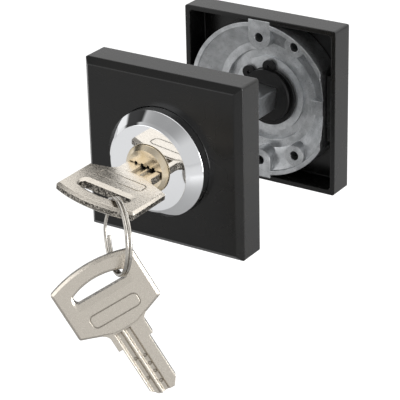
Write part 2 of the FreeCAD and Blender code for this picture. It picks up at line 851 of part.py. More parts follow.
def main():
    os.makedirs("parts", exist_ok=True)
    neck_hole = neck_section(neck_r + plug_gap, neck_flat + plug_gap, -1, plate_depth + 1)
    hub_hole = rod(hub_r + hub_running_gap, -1, plate_depth + 1)
    save("outer_rose_cover", on_outer_side(rose_cover(collar_r + collar_hole_gap)))
    save("outer_mounting_plate", on_outer_side(mounting_plate(neck_hole)))
    save("cylinder_collar", cylinder_collar())
    save("cylinder_body", cylinder_body())
    washer_y = -hub_floor
    save("cylinder_washer", washer(neck_r + 0.1, outer_washer_r, washer_y, washer_y + washer_thick))
    clip_y = washer_y + washer_thick + 0.02
    save("cylinder_circlip", circlip(neck_r - circlip_groove + 0.03, outer_circlip_r, clip_y,
                                     clip_y + circlip_thick, outer_circlip_open_deg))
    save("driver_pins", radial_pieces(driver_pin))
    save("pin_springs", radial_pieces(pin_spring))
    save("chamber_plugs", radial_pieces(chamber_plug))
    save("inner_rose_cover", on_inner_side(rose_cover(hub_r + 0.5)))
    save("inner_mounting_plate", on_inner_side(mounting_plate(hub_hole)))
    inner_washer_y = inner_door + hub_floor - washer_thick
    save("hub_washer", washer(hub_r + 0.1, inner_washer_r, inner_washer_y, inner_washer_y + washer_thick))

    save("lock_plug", at_rest(lock_plug()))
    save("key_pins", at_rest(radial_pieces(key_pin)))
    save("plug_clip", at_rest(plug_clip()))
    save("tail_driver", at_rest(tail_driver()))
    save("square_spindle", at_rest(square_spindle()))
    save("turn_hub", at_rest(turn_hub()))
    inner_clip_y = inner_washer_y - 0.02
    save("hub_circlip", at_rest(circlip(hub_r - circlip_groove + 0.03, inner_circlip_r,
                                        inner_clip_y - circlip_thick, inner_clip_y,
                                        inner_circlip_open_deg)))
    save("thumb_turn", at_rest(thumb_turn()))
    save("turn_grub_screw", at_rest(turn_grub_screw()))

    lock_key = key_shape()
    lock_key.translate(Vector(0, key_stop, 0))
    save("lock_key", at_rest(lock_key))
    save("split_ring", split_ring())
    save("spare_key", spare_key())


main()
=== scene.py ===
"""Looks of a privacy rose lock set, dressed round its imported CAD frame.

A square black rose with a chrome-collared key cylinder outside, a square black rose
with a thumb turn inside, the die-cast plates behind both, and two keys on a split ring.
Lengths are in metres in the frame, and in millimetres where a name ends in _mm.
"""

from __future__ import annotations

import json
import logging
import math
from dataclasses import dataclass, field
from enum import Enum

import bmesh
import bpy
from mathutils import Matrix, Vector

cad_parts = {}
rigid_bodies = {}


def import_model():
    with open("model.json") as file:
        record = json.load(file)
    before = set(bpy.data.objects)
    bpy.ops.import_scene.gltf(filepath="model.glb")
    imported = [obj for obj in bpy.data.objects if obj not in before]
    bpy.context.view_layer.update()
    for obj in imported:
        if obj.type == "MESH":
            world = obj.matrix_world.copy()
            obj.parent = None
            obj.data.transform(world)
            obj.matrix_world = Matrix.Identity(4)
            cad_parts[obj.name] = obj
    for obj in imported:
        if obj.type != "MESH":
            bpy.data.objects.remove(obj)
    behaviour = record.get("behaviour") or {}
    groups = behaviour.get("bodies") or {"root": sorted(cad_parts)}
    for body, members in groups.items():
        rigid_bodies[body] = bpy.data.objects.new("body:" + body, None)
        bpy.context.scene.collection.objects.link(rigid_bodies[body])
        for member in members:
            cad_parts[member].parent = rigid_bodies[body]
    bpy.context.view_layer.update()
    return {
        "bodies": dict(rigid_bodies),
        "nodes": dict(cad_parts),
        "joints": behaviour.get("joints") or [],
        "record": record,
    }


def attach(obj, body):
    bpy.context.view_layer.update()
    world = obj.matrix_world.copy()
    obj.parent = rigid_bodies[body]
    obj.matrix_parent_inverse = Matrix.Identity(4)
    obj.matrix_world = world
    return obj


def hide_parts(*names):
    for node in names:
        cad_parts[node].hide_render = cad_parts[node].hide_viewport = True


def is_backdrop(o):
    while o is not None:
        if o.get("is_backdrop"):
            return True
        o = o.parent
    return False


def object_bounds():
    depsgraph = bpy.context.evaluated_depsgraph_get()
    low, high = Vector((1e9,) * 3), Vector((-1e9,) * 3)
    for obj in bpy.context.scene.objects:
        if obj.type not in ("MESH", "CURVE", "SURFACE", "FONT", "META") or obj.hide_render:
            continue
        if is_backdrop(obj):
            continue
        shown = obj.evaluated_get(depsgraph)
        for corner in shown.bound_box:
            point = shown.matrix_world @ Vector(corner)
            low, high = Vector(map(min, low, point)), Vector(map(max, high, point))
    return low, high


log = logging.getLogger("privacy_set")

MM = 0.001
FRONT_MM = -9.6             # the outer rose's front face, on the frame's Y axis
NOISE_LOW, NOISE_HIGH = 0.3, 0.7    # most of a noise pattern lies between these
WAVE_RADIANS = 20.0         # the wave texture turns this many radians in one unit
EDGE_SAMPLES = 8            # rays for rounded edges and for recesses

Point = tuple[float, float, float]
Stops = tuple[tuple[float, str], tuple[float, str]]     # a colour ramp: positions and hex colours


def srgb(code: str) -> tuple[float, float, float, float]:
    """Turns an sRGB hex colour into linear RGBA.

    Args:
        code: Six hex digits, with or without a leading #.

    Returns:
        Linear red, green, blue and an alpha of 1.
    """
    code = code.lstrip("#")
    parts = [int(code[i:i + 2], 16) / 255 for i in (0, 2, 4)]
    linear = [c / 12.92 if c <= 0.04045 else ((c + 0.055) / 1.055) ** 2.4 for c in parts]
    return (linear[0], linear[1], linear[2], 1.0)


def per_metre(size_mm: float) -> float:
    """Returns the texture scale whose features are about size_mm across."""
    return 1.0 / (size_mm * MM)


def add_node(
    tree: bpy.types.NodeTree,
    kind: str,
    settings: dict[str, object] | None = None,
    inputs: dict[object, object] | None = None,
    stops: Stops | tuple[()] = (),
) -> bpy.types.Node:
    """Adds one node with its settings and links.

    Args:
        tree: The node tree that takes the node.
        kind: Blender's type name of the node.
        settings: Properties of the node, by name.
        inputs: Sockets by name or index; a value is set, an output socket is linked.
        stops: The two stops of a colour ramp, as positions with sRGB hex colours.

    Returns:
        The new node.
    """
    node = tree.nodes.new(kind)
    for name, value in (settings or {}).items():
        setattr(node, name, value)
    for name, value in (inputs or {}).items():
        if isinstance(value, bpy.types.NodeSocket):
            tree.links.new(value, node.inputs[name])
        else:
            node.inputs[name].default_value = value
    for index, (position, colour) in enumerate(stops):
        node.color_ramp.elements[index].position = position
        node.color_ramp.elements[index].color = srgb(colour)
    return node


@dataclass(frozen=True)
class Grain:
    """A fine pattern in a surface: its real size, its make-up and how deep it shows."""

    size_mm: float
    detail: float = 2.0
    fineness: float = 0.5       # strength of the finer octaves
    depth_mm: float = 0.0
    strength: float = 0.0


@dataclass(frozen=True)
class Finish:
    """A surface finish: what every finish shares."""

    name: str
    slot: str

    def material(self) -> bpy.types.Material:
        """Builds the node material of this finish.

        Returns:
            The material.
        """
        made = bpy.data.materials.new(self.name)
        made.use_nodes = True
        tree = made.node_tree
        tree.nodes.clear()
        shader = add_node(tree, "ShaderNodeBsdfPrincipled", inputs=self.surface(tree))
        add_node(tree, "ShaderNodeOutputMaterial", inputs={"Surface": shader.outputs["BSDF"]})
        return made

    def surface(self, tree: bpy.types.NodeTree) -> dict[object, object]:
        """Adds this finish's own nodes.

        Args:
            tree: The material's node tree.

        Returns:
            The shader's sockets by name, each with its value or the socket that drives it.
        """
        raise NotImplementedError


@dataclass(frozen=True)
class PowderCoat(Finish):
    """Satin black powder coat, sprayed on die-cast zinc and baked.

    The eye sees a near-black with a soft sheen that turns grey at a glance, and a very fine
    orange peel.
    """

    tint: Stops = ((0.35, "#0B0B0B"), (0.75, "#12110F"))
    ior: float = 1.41
    smoothest: float = 0.23
    roughest: float = 0.31
    patch: Grain = Grain(9.0)   # tint and gloss wander this slowly over a face
    peel: Grain = Grain(0.55, depth_mm=0.006, strength=0.35)    # orange peel, at its real size
    speck: Grain = Grain(0.12, 1.0, depth_mm=0.002, strength=0.3)
    edge_mm: float = 0.45       # the coat draws back from edges and leaves them round

    def surface(self, tree: bpy.types.NodeTree) -> dict[object, object]:
        """Adds the orange peel, the fine specks and the uneven gloss.

        Args:
            tree: The material's node tree.

        Returns:
            The shader's sockets by name.
        """
        place = add_node(tree, "ShaderNodeTexCoord").outputs["Object"]
        patch = add_node(tree, "ShaderNodeTexNoise", inputs={
            "Vector": place, "Scale": per_metre(self.patch.size_mm), "Detail": self.patch.detail})
        peel = add_node(tree, "ShaderNodeTexNoise", inputs={
            "Vector": place, "Scale": per_metre(self.peel.size_mm), "Detail": self.peel.detail})
        speck = add_node(tree, "ShaderNodeTexNoise", inputs={
            "Vector": place, "Scale": per_metre(self.speck.size_mm), "Detail": self.speck.detail})
        tint = add_node(
            tree, "ShaderNodeValToRGB", inputs={"Fac": patch.outputs["Fac"]}, stops=self.tint)
        gloss = add_node(tree, "ShaderNodeMapRange", inputs={
            "Value": patch.outputs["Fac"], "To Min": self.smoothest, "To Max": self.roughest})
        rounded = add_node(tree, "ShaderNodeBevel", {"samples": EDGE_SAMPLES}, {
            "Radius": self.edge_mm * MM})
        peeled = add_node(tree, "ShaderNodeBump", inputs={
            "Height": peel.outputs["Fac"], "Distance": self.peel.depth_mm * MM,
            "Strength": self.peel.strength, "Normal": rounded.outputs["Normal"]})
        specked = add_node(tree, "ShaderNodeBump", inputs={
            "Height": speck.outputs["Fac"], "Distance": self.speck.depth_mm * MM,
            "Strength": self.speck.strength, "Normal": peeled.outputs["Normal"]})
        return {
            "Base Color": tint.outputs["Color"], "Roughness": gloss.outputs["Result"],
            "Normal": specked.outputs["Normal"], "IOR": self.ior}


@dataclass(frozen=True)
class DieCastZinc(Finish):
    """Bare zinc alloy, as it leaves the die.

    The eye sees a soft grey skin with cloudy flow marks and a fine grain.
    """

    tint: Stops = ((0.25, "#96989A"), (0.8, "#D8DADC"))
    metallic: float = 0.85
    smoothest: float = 0.24
    roughest: float = 0.42
    cloud: Grain = Grain(3.6, 4.0, 0.6)
    flow: Grain = Grain(1.4, 3.0, depth_mm=0.05, strength=0.3)
    swirl: float = 1.6          # how far the flow marks are bent
    grain: Grain = Grain(0.28, 3.0, 0.65, depth_mm=0.012, strength=0.35)
    edge_mm: float = 0.3        # cast edges come out of the die a little round

    def surface(self, tree: bpy.types.NodeTree) -> dict[object, object]:
        """Adds clouds, grain and flow marks.

        Args:
            tree: The material's node tree.

        Returns:
            The shader's sockets by name.
        """
        place = add_node(tree, "ShaderNodeTexCoord").outputs["Object"]
        cloud = add_node(tree, "ShaderNodeTexNoise", inputs={
            "Vector": place, "Scale": per_metre(self.cloud.size_mm),
            "Detail": self.cloud.detail, "Roughness": self.cloud.fineness})
        grain = add_node(tree, "ShaderNodeTexNoise", inputs={
            "Vector": place, "Scale": per_metre(self.grain.size_mm),
            "Detail": self.grain.detail, "Roughness": self.grain.fineness})
        flow = add_node(tree, "ShaderNodeTexNoise", inputs={
            "Vector": place, "Scale": per_metre(self.flow.size_mm),
            "Detail": self.flow.detail, "Distortion": self.swirl})
        tint = add_node(
            tree, "ShaderNodeValToRGB", inputs={"Fac": cloud.outputs["Fac"]}, stops=self.tint)
        rough = add_node(tree, "ShaderNodeMapRange", inputs={
            "Value": grain.outputs["Fac"], "From Min": NOISE_LOW, "From Max": NOISE_HIGH,
            "To Min": self.smoothest, "To Max": self.roughest})
        rounded = add_node(tree, "ShaderNodeBevel", {"samples": EDGE_SAMPLES}, {
            "Radius": self.edge_mm * MM})
        flowed = add_node(tree, "ShaderNodeBump", inputs={
            "Height": flow.outputs["Fac"], "Distance": self.flow.depth_mm * MM,
            "Strength": self.flow.strength, "Normal": rounded.outputs["Normal"]})
        grained = add_node(tree, "ShaderNodeBump", inputs={
            "Height": grain.outputs["Fac"], "Distance": self.grain.depth_mm * MM,
            "Strength": self.grain.strength, "Normal": flowed.outputs["Normal"]})
        return {
            "Base Color": tint.outputs["Color"], "Roughness": rough.outputs["Result"],
            "Normal": grained.outputs["Normal"], "Metallic": self.metallic}


@dataclass(frozen=True)
class ChromePlate(Finish):
    """Bright chrome on turned and polished brass.

    The eye sees a mirror with a faint polishing haze.
    """

    colour: str = "#EDEEF0"
    smoothest: float = 0.02
    roughest: float = 0.06
    haze: Grain = Grain(1.6, 3.0, 0.6)

    def surface(self, tree: bpy.types.NodeTree) -> dict[object, object]:
        """Adds the haze.

        Args:
            tree: The material's node tree.

        Returns:
            The shader's sockets by name.
        """
        place = add_node(tree, "ShaderNodeTexCoord").outputs["Object"]
        haze = add_node(tree, "ShaderNodeTexNoise", inputs={
            "Vector": place, "Scale": per_metre(self.haze.size_mm),
            "Detail": self.haze.detail, "Roughness": self.haze.fineness})
        rough = add_node(tree, "ShaderNodeMapRange", inputs={
            "Value": haze.outputs["Fac"], "From Min": NOISE_LOW, "From Max": NOISE_HIGH,
            "To Min": self.smoothest, "To Max": self.roughest})
        return {
            "Base Color": srgb(self.colour), "Roughness": rough.outputs["Result"], "Metallic": 1.0}


@dataclass(frozen=True)
class TurnedBrass(Finish):
    """Brass bar, turned on a lathe and lightly polished.

    The eye sees pale gold with rings round the axis. They are the tool's feed marks, drawn
    1.9 mm apart, which is coarser than real, so that they show.
    """

    tint: Stops = ((0.35, "#ECDFC8"), (0.8, "#DCC9A4"))
    smoothest: float = 0.14
    roughest: float = 0.3
    tarnish: Grain = Grain(2.6, 3.0, 0.6)
    feed: Grain = Grain(0.3, 1.0, depth_mm=0.002, strength=0.25)    # one radian of the feed marks
    waver: float = 0.4          # how uneven the feed marks are
    waver_scale: float = 2.0

    def surface(self, tree: bpy.types.NodeTree) -> dict[object, object]:
        """Adds the feed marks and a faint tarnish.

        Args:
            tree: The material's node tree.

        Returns:
            The shader's sockets by name.
        """
        place = add_node(tree, "ShaderNodeTexCoord").outputs["Object"]
        rings = add_node(
            tree, "ShaderNodeTexWave", {"wave_type": "RINGS", "rings_direction": "Y"}, {
                "Vector": place, "Scale": per_metre(self.feed.size_mm) / WAVE_RADIANS,
                "Distortion": self.waver, "Detail": self.feed.detail,
                "Detail Scale": self.waver_scale})
        tarnish = add_node(tree, "ShaderNodeTexNoise", inputs={
            "Vector": place, "Scale": per_metre(self.tarnish.size_mm),
            "Detail": self.tarnish.detail, "Roughness": self.tarnish.fineness})
        tint = add_node(
            tree, "ShaderNodeValToRGB", inputs={"Fac": tarnish.outputs["Fac"]}, stops=self.tint)
        rough = add_node(tree, "ShaderNodeMapRange", inputs={
            "Value": tarnish.outputs["Fac"], "To Min": self.smoothest, "To Max": self.roughest})
        turned = add_node(tree, "ShaderNodeBump", inputs={
            "Height": rings.outputs["Fac"], "Distance": self.feed.depth_mm * MM,
            "Strength": self.feed.strength})
        return {
            "Base Color": tint.outputs["Color"], "Roughness": rough.outputs["Result"],
            "Normal": turned.outputs["Normal"], "Metallic": 1.0}


@dataclass(frozen=True)
class NickelKey(Finish):
    """Nickel-plated brass, blanked, tumbled and plated.

    The eye sees warm grey metal with a fine sparkle on the faces, a coarse, darker grain on
    the blanked edges and a golden painted shade in the grooves, darker the deeper the recess.
    """

    face: Point = (0.0, 0.0, 1.0)
    face_and_painted_shade_tint: Stops = ((0.38, "#5A4F3C"), (0.96, "#D4CDC2"))   # painted shade in recesses, up to the metal's own colour on open faces
    edge_tint: Stops = ((0.44, "#3B3833"), (0.66, "#D4CDC2"))
    smoothest: float = 0.22
    roughest: float = 0.38
    # The tumbled grain is drawn coarser than real, so that it shows.
    tumbled: Grain = Grain(0.55, 3.0, 0.6, depth_mm=0.055, strength=0.9)
    blanked: Grain = Grain(0.5, 4.0, 0.7, depth_mm=0.16, strength=0.8)  # a blanked edge is torn
    edge_turn: tuple[float, float] = (0.25, 0.45)   # a surface turned less to the face is edge
    painted_shade_reach_mm: float = 1.2      # recesses narrower than this take the painted groove shade
    edge_mm: float = 0.22       # tumbling rounds the blanked edges

    def surface(self, tree: bpy.types.NodeTree) -> dict[object, object]:
        """Adds both grains and keeps the coarse one to the edges.

        Args:
            tree: The material's node tree.

        Returns:
            The shader's sockets by name.
        """
        coords = add_node(tree, "ShaderNodeTexCoord")
        turned = add_node(tree, "ShaderNodeVectorMath", {"operation": "DOT_PRODUCT"}, {
            0: coords.outputs["Normal"], 1: self.face})
        facing = add_node(tree, "ShaderNodeMath", {"operation": "ABSOLUTE"}, {
            0: turned.outputs["Value"]})
        on_edge = add_node(tree, "ShaderNodeMapRange", inputs={
            "Value": facing.outputs[0],
            "From Min": self.edge_turn[0], "From Max": self.edge_turn[1],
            "To Min": 1.0, "To Max": 0.0})
        fine = add_node(tree, "ShaderNodeTexNoise", inputs={
            "Vector": coords.outputs["Object"], "Scale": per_metre(self.tumbled.size_mm),
            "Detail": self.tumbled.detail, "Roughness": self.tumbled.fineness})
        coarse = add_node(tree, "ShaderNodeTexNoise", inputs={
            "Vector": coords.outputs["Object"], "Scale": per_metre(self.blanked.size_mm),
            "Detail": self.blanked.detail, "Roughness": self.blanked.fineness})
        marks = add_node(
            tree, "ShaderNodeValToRGB", inputs={"Fac": coarse.outputs["Fac"]}, stops=self.edge_tint)
        # Ambient occlusion drives a painted shade: recesses are darkened towards golden brown.
        painted_recess_shade = add_node(tree, "ShaderNodeAmbientOcclusion", {"samples": EDGE_SAMPLES}, {
            "Distance": self.painted_shade_reach_mm * MM})
        face = add_node(
            tree, "ShaderNodeValToRGB",
            inputs={"Fac": painted_recess_shade.outputs["AO"]}, stops=self.face_and_painted_shade_tint)
        tint = add_node(tree, "ShaderNodeMix", {"data_type": "RGBA"}, {
            "Factor": on_edge.outputs["Result"],
            6: face.outputs["Color"], 7: marks.outputs["Color"]})
        rough = add_node(tree, "ShaderNodeMapRange", inputs={
            "Value": fine.outputs["Fac"], "From Min": NOISE_LOW, "From Max": NOISE_HIGH,
            "To Min": self.smoothest, "To Max": self.roughest})
        torn = add_node(tree, "ShaderNodeMath", {"operation": "MULTIPLY"}, {
            0: coarse.outputs["Fac"], 1: on_edge.outputs["Result"]})
        rounded = add_node(tree, "ShaderNodeBevel", {"samples": EDGE_SAMPLES}, {
            "Radius": self.edge_mm * MM})
        edged = add_node(tree, "ShaderNodeBump", inputs={
            "Height": torn.outputs[0], "Distance": self.blanked.depth_mm * MM,
            "Strength": self.blanked.strength, "Normal": rounded.outputs["Normal"]})
        grained = add_node(tree, "ShaderNodeBump", inputs={
            "Height": fine.outputs["Fac"], "Distance": self.tumbled.depth_mm * MM,
            "Strength": self.tumbled.strength, "Normal": edged.outputs["Normal"]})
        return {
            "Base Color": tint.outputs[2], "Roughness": rough.outputs["Result"],
            "Normal": grained.outputs["Normal"], "Metallic": 1.0}


@dataclass(frozen=True)
class BrightSteel(Finish):
    """Drawn or rolled steel, bright or thinly zinc-plated.

    The eye sees cool grey metal with a soft sheen and faint scuffs.
    """

    tint: Stops
    smoothest: float
    roughest: float
    scuff: Grain
    skin: Grain = Grain(0.4, depth_mm=0.003, strength=0.2)

    def surface(self, tree: bpy.types.NodeTree) -> dict[object, object]:
        """Adds scuffs and a fine skin.

        Args:
            tree: The material's node tree.

        Returns:
            The shader's sockets by name.
        """
        place = add_node(tree, "ShaderNodeTexCoord").outputs["Object"]
        scuff = add_node(tree, "ShaderNodeTexNoise", inputs={
            "Vector": place, "Scale": per_metre(self.scuff.size_mm),
            "Detail": self.scuff.detail, "Roughness": self.scuff.fineness})
        skin = add_node(tree, "ShaderNodeTexNoise", inputs={
            "Vector": place, "Scale": per_metre(self.skin.size_mm), "Detail": self.skin.detail})
        tint = add_node(
            tree, "ShaderNodeValToRGB", inputs={"Fac": scuff.outputs["Fac"]}, stops=self.tint)
        rough = add_node(tree, "ShaderNodeMapRange", inputs={
            "Value": scuff.outputs["Fac"], "From Min": NOISE_LOW, "From Max": NOISE_HIGH,
            "To Min": self.smoothest, "To Max": self.roughest})
        drawn = add_node(tree, "ShaderNodeBump", inputs={
            "Height": skin.outputs["Fac"], "Distance": self.skin.depth_mm * MM,
            "Strength": self.skin.strength})
        return {
            "Base Color": tint.outputs["Color"], "Roughness": rough.outputs["Result"],
            "Normal": drawn.outputs["Normal"], "Metallic": 1.0}


@dataclass(frozen=True)
class BlackenedSteel(Finish):
    """Spring steel with a black oxide skin, slightly oiled.

    The eye sees a flat black that shines dully along its edges.
    """

    tint: Stops = ((0.45, "#0B0B0C"), (0.75, "#171615"))
    metallic: float = 0.1
    specular: float = 0.35
    smoothest: float = 0.3
    roughest: float = 0.5
    rub: Grain = Grain(1.3, 4.0, 0.6)
    tooth: Grain = Grain(0.14, depth_mm=0.004, strength=0.4)

    def surface(self, tree: bpy.types.NodeTree) -> dict[object, object]:
        """Adds rubbed patches and a fine tooth.

        Args:
            tree: The material's node tree.

        Returns:
            The shader's sockets by name.
        """
        place = add_node(tree, "ShaderNodeTexCoord").outputs["Object"]
        rub = add_node(tree, "ShaderNodeTexNoise", inputs={
            "Vector": place, "Scale": per_metre(self.rub.size_mm),
            "Detail": self.rub.detail, "Roughness": self.rub.fineness})
        tooth = add_node(tree, "ShaderNodeTexNoise", inputs={
            "Vector": place, "Scale": per_metre(self.tooth.size_mm), "Detail": self.tooth.detail})
        tint = add_node(
            tree, "ShaderNodeValToRGB", inputs={"Fac": rub.outputs["Fac"]}, stops=self.tint)
        rough = add_node(tree, "ShaderNodeMapRange", inputs={
            "Value": rub.outputs["Fac"], "To Min": self.smoothest, "To Max": self.roughest})
        toothed = add_node(tree, "ShaderNodeBump", inputs={
            "Height": tooth.outputs["Fac"], "Distance": self.tooth.depth_mm * MM,
            "Strength": self.tooth.strength})
        return {
            "Base Color": tint.outputs["Color"], "Roughness": rough.outputs["Result"],
            "Normal": toothed.outputs["Normal"], "Specular IOR Level": self.specular,
            "Metallic": self.metallic}


class Side(Enum):
    """The two sides of the door."""

    OUTER = "outer"
    INNER = "inner"


def dress(frame: dict, node: str, finish: bpy.types.Material) -> None:
    """Gives a CAD node its finish.

    Args:
        node: The node's name.
        finish: The material.
    """
    piece = frame["nodes"][node]
    piece.data.materials.clear()
    piece.data.materials.append(finish)
    log.info("dressed %s with %s", node, finish.name)


def mesh_piece(name: str, mesh: bpy.types.Mesh, finish: bpy.types.Material) -> bpy.types.Object:
    """Links a mesh into the scene as a named piece.

    Args:
        name: The piece's name.
        mesh: Its mesh.
        finish: Its material.

    Returns:
        The new object.
    """
    mesh.materials.append(finish)
    piece = bpy.data.objects.new(name, mesh)
    bpy.context.scene.collection.objects.link(piece)
    log.info("built %s with %d faces", name, len(mesh.polygons))
    return piece


def tidy_mesh(mesh: bpy.types.Mesh, sharp_deg: float) -> None:
    """Turns normals outward and shades smooth between sharp edges.

    Args:
        mesh: The mesh.
        sharp_deg: Edges steeper than this stay sharp.
    """
    bm = bmesh.new()
    bm.from_mesh(mesh)
    bmesh.ops.recalc_face_normals(bm, faces=bm.faces)
    bm.to_mesh(mesh)
    bm.free()
    mesh.shade_smooth()
    mesh.set_sharp_from_angle(angle=math.radians(sharp_deg))


def rounded_path(corners: list[Point], support: float, steps: int = 5) -> list[Vector]:
    """Rounds the corners of a closed outline.

    Args:
        corners: Points as (x, y, corner radius).
        support: Distance from a corner's arc to the extra point that keeps the flat beside it flat.
        steps: Segments of each arc.

    Returns:
        The outline's points.
    """
    points: list[Vector] = []
    count = len(corners)
    for i, (x, y, radius) in enumerate(corners):
        here = Vector((x, y))
        before = (Vector(corners[i - 1][:2]) - here).normalized()
        after = (Vector(corners[(i + 1) % count][:2]) - here).normalized()
        half = before.angle(after) / 2
        cut = radius / math.tan(half)
        start, end = here + before * cut, here + after * cut
        centre = here + (before + after).normalized() * (radius / math.sin(half))
        points.append(start + before * support)
        first, last = (start - centre).normalized(), (end - centre).normalized()
        for k in range(steps + 1):
            points.append(centre + first.slerp(last, k / steps, first) * radius)
        points.append(end + after * support)
    return points


def lathe(name: str, outline: list[Vector], segments: int, sharp_deg: float) -> bpy.types.Mesh:
    """Turns a closed outline of (radius, y) points round the Y axis.

    Args:
        name: The mesh's name.
        outline: The points, in metres.
        segments: Faces round the turn.
        sharp_deg: Edges steeper than this stay sharp.

    Returns:
        The mesh, smooth except at sharp edges.
    """
    count = len(outline)
    vertices, faces = [], []
    for k in range(segments):
        a = 2 * math.pi * k / segments
        vertices += [(p.x * math.cos(a), p.y, p.x * math.sin(a)) for p in outline]
        here, there = k * count, ((k + 1) % segments) * count
        for i in range(count):
            j = (i + 1) % count
            faces.append((here + i, here + j, there + j, there + i))
    mesh = bpy.data.meshes.new(name)
    mesh.from_pydata(vertices, [], faces)
    tidy_mesh(mesh, sharp_deg)
    return mesh


@dataclass
class RoseCovers:
    """The two square covers and the thumb turn, which share one paint."""

    paint: PowderCoat = field(
        default_factory=lambda: PowderCoat("satin_black_powder_coat", "black_paint"))

    def build(self, frame: dict) -> None:
        """Dresses both covers and the thumb turn.
        """
        paint = self.paint.material()
        for side in Side:
            dress(frame, f"{side.value}_rose_cover", paint)
        dress(frame, "thumb_turn", paint)


@dataclass
class MountingPlates:
    """The two die-cast plates."""

    casting: DieCastZinc = field(
        default_factory=lambda: DieCastZinc("die_cast_zinc_skin", "die_cast_zinc"))

    def build(self, frame: dict) -> None:
        """Dresses both plates.
        """
        casting = self.casting.material()
        for side in Side:
            dress(frame, f"{side.value}_mounting_plate", casting)


@dataclass
class KeyCylinder:
    """The chrome collar, the brass body and plug, and what fills them."""

    chrome: ChromePlate = field(
        default_factory=lambda: ChromePlate("polished_chrome_plate", "chrome"))
    brass: TurnedBrass = field(default_factory=lambda: TurnedBrass("turned_brass", "brass"))
    collar_r_mm: float = 15.3
    collar_wall_mm: float = 1.1
    collar_foot_mm: float = -7.8
    shoulder_mm: float = 2.8
    shoulder_round_mm: float = 0.35
    cone_r_mm: float = 12.9
    cone_height_mm: float = 5.7
    cone_round_mm: float = 0.8
    disc_r_mm: float = 12.15
    disc_round_mm: float = 0.25
    height_mm: float = 6.4
    face_mm: float = 1.15
    inner_r_mm: float = 11.4
    bore_r_mm: float = 6.9
    bore_round_mm: float = 0.12
    hidden_round_mm: float = 0.1
    support_mm: float = 0.03
    segments: int = 192
    sharp_deg: float = 35.0

    def collar_outline(self) -> list[Vector]:
        """Draws the collar's section, with every corner rounded.

        Returns:
            Its outline as (radius, y) points in metres.
        """
        front = FRONT_MM - self.height_mm
        shoulder = FRONT_MM - self.shoulder_mm
        inside_r = self.collar_r_mm - self.collar_wall_mm
        corners = [
            (self.collar_r_mm, self.collar_foot_mm, self.hidden_round_mm),
            (self.collar_r_mm, shoulder, self.shoulder_round_mm),
            (self.cone_r_mm, FRONT_MM - self.cone_height_mm, self.cone_round_mm),
            (self.disc_r_mm, front, self.disc_round_mm),
            (self.bore_r_mm, front, self.bore_round_mm),
            (self.bore_r_mm, front + self.face_mm, self.hidden_round_mm),
            (self.inner_r_mm, front + self.face_mm, self.hidden_round_mm),
            (inside_r, shoulder + self.face_mm, self.hidden_round_mm),
            (inside_r, self.collar_foot_mm, self.hidden_round_mm),
        ]
        return [p * MM for p in rounded_path(corners, self.support_mm)]

    def build(self, frame: dict) -> None:
        """Builds the collar and dresses the cylinder's pieces.
        """
        chrome, brass = self.chrome.material(), self.brass.material()
        mesh = lathe("polished_collar", self.collar_outline(), self.segments, self.sharp_deg)
        collar = mesh_piece("polished_collar", mesh, chrome)
        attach(collar, "root")
        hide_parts("cylinder_collar")
        dress(frame, "cylinder_collar", chrome)
        for node in ("cylinder_body", "driver_pins", "chamber_plugs", "lock_plug", "key_pins"):
            dress(frame, node, brass)


@dataclass
class TurnDrive:
    """Spindle, coupling, hub and the steel rings and springs."""

    zinc: BrightSteel = field(default_factory=lambda: BrightSteel(
        "zinc_plated_steel", "zinc_steel", ((0.4, "#C9CBCD"), (0.75, "#ADAFB1")),
        smoothest=0.28, roughest=0.44, scuff=Grain(1.6, 4.0, 0.65)))
    spring: BrightSteel = field(default_factory=lambda: BrightSteel(
        "bright_spring_steel", "spring_steel", ((0.4, "#BDB9B2"), (0.75, "#A29E98")),
        smoothest=0.12, roughest=0.28, scuff=Grain(0.7, 4.0, 0.65)))
    black: BlackenedSteel = field(default_factory=lambda: BlackenedSteel(
        "blackened_steel", "black_steel"))

    def build(self, frame: dict) -> None:
        """Dresses the drive.
        """
        by_finish = {
            self.zinc: ("cylinder_washer", "hub_washer", "tail_driver", "square_spindle"),
            self.spring: ("pin_springs", "plug_clip"),
            self.black: ("cylinder_circlip", "turn_hub", "hub_circlip", "turn_grub_screw"),
        }
        for finish, nodes in by_finish.items():
            made = finish.material()
            for node in nodes:
                dress(frame, node, made)


